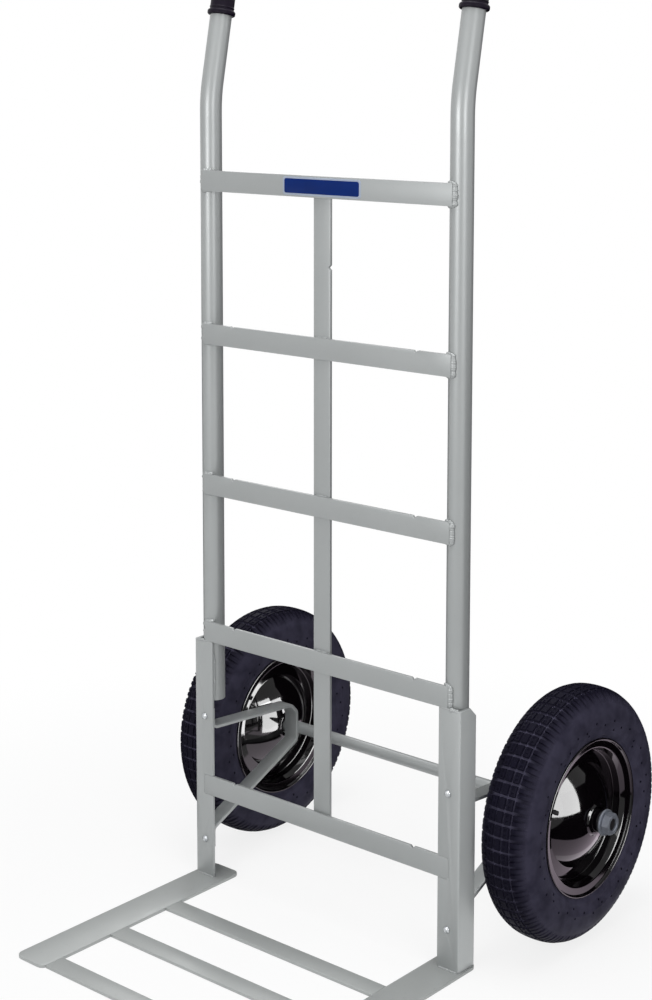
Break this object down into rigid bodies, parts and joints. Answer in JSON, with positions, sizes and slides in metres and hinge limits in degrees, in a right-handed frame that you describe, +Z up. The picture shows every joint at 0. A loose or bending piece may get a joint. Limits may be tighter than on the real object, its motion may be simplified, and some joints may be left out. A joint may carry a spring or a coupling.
{
  "type": "two-wheel hand truck",
  "caption": "Upright steel hand truck with a flat toe plate, ladder frame, leaning grips and pneumatic wheels on a fixed axle.",
  "frame": {"origin": "on the floor under the middle of the overall box", "axes": "+X to the truck's right seen from the load side, +Y to the back where the wheels are, +Z up"},
  "size_m": [0.7592, 0.784, 1.494],
  "materials": {
    "frame_paint": "silver grey gloss paint on steel",
    "toe_paint": "silver grey gloss paint on steel, a little scuffed",
    "zinc": "bright zinc plating",
    "rim_paint": "gloss black paint on pressed steel",
    "tyre_rubber": "blue-black moulded rubber",
    "tube_rubber": "smooth black rubber",
    "grip_plastic": "dark moulded plastic, satin",
    "bush_nylon": "black nylon"
  },
  "bodies": {
    "frame": {"axle": "frame_paint", "centre_bar": "frame_paint", "crossbar_top": "frame_paint", "crossbar_second": "frame_paint", "crossbar_third": "frame_paint", "crossbar_fourth": "frame_paint", "crossbar_low": "frame_paint", "toe_bar_rear": "toe_paint", "toe_bar_middle": "toe_paint", "toe_bar_front": "toe_paint", "left_side_tube": "frame_paint", "left_grip": "grip_plastic", "left_foot_angle": "frame_paint", "left_toe_side_plate": "toe_paint", "left_axle_bracket": "frame_paint", "left_upper_bracket_bolt": "zinc", "left_upper_bracket_washer": "zinc", "left_upper_bracket_nut": "zinc", "left_lower_bracket_bolt": "zinc", "left_lower_bracket_washer": "zinc", "left_lower_bracket_nut": "zinc", "left_spacer_collar": "frame_paint", "left_inner_washer": "zinc", "left_outer_washer": "zinc", "left_axle_nut": "zinc", "right_side_tube": "frame_paint", "right_grip": "grip_plastic", "right_foot_angle": "frame_paint", "right_toe_side_plate": "toe_paint", "right_axle_bracket": "frame_paint", "right_upper_bracket_bolt": "zinc", "right_upper_bracket_washer": "zinc", "right_upper_bracket_nut": "zinc", "right_lower_bracket_bolt": "zinc", "right_lower_bracket_washer": "zinc", "right_lower_bracket_nut": "zinc", "right_spacer_collar": "frame_paint", "right_inner_washer": "zinc", "right_outer_washer": "zinc", "right_axle_nut": "zinc"},
    "left_wheel": {"left_tyre": "tyre_rubber", "left_inner_tube": "tube_rubber", "left_rim_outer_half": "rim_paint", "left_rim_inner_half": "rim_paint", "left_valve_stem": "tube_rubber", "left_hub_sleeve": "rim_paint", "left_outer_bush": "bush_nylon", "left_inner_bush": "bush_nylon"},
    "right_wheel": {"right_tyre": "tyre_rubber", "right_inner_tube": "tube_rubber", "right_rim_outer_half": "rim_paint", "right_rim_inner_half": "rim_paint", "right_valve_stem": "tube_rubber", "right_hub_sleeve": "rim_paint", "right_outer_bush": "bush_nylon", "right_inner_bush": "bush_nylon"}
  },
  "joints": [
    {"name": "left_wheel_spin", "type": "hinge", "parent": "frame", "child": "left_wheel", "pos_m": [-0.304, 0.202, 0.19], "axis": [1, 0, 0], "continuous": true},
    {"name": "right_wheel_spin", "type": "hinge", "parent": "frame", "child": "right_wheel", "pos_m": [0.304, 0.202, 0.19], "axis": [1, 0, 0], "continuous": true}
  ]
}
